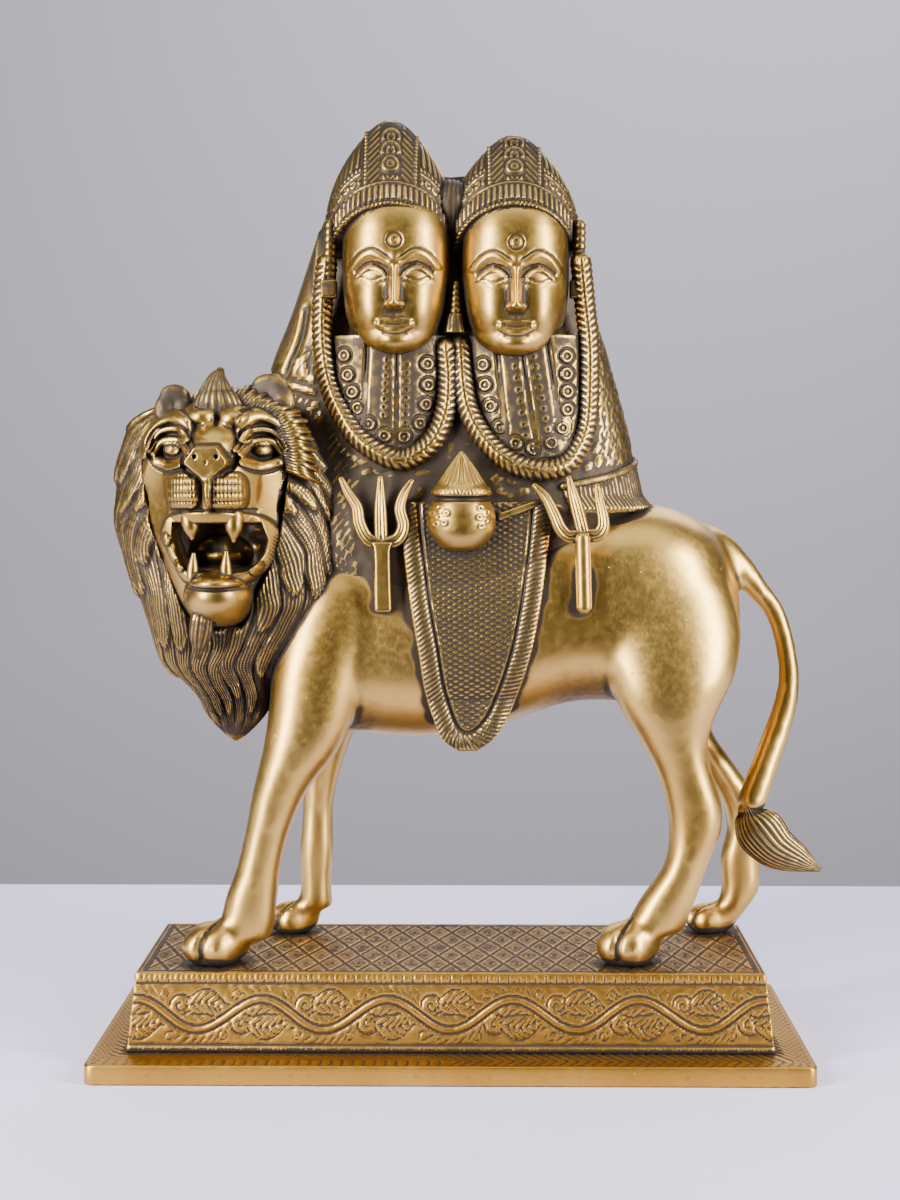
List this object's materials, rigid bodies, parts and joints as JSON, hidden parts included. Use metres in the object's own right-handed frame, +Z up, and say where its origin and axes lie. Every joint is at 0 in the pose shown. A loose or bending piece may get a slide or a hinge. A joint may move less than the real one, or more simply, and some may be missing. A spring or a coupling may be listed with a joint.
{
  "type": "statue of a twin-headed goddess riding a lion",
  "caption": "Cast brass statue of a goddess in twin-headed form, crowned and garlanded, riding a walking lion on a stepped plinth with a scrolling vine.",
  "frame": {"origin": "middle of the plinth's flat underside", "axes": "+Z up, +X from the lion's head to its tail, -Y the side that the faces look to"},
  "size_m": [0.2387, 0.1048, 0.305],
  "materials": {
    "statue_brass": "antique brass, satin on the lion's coat, polished on high points, near-black patina in the recesses",
    "plinth_brass": "engraved antique brass, warmer on the front, dark patina on the upper faces"
  },
  "bodies": {
    "root": {"lion_and_goddess": "statue_brass", "plinth": "plinth_brass"}
  },
  "joints": []
}
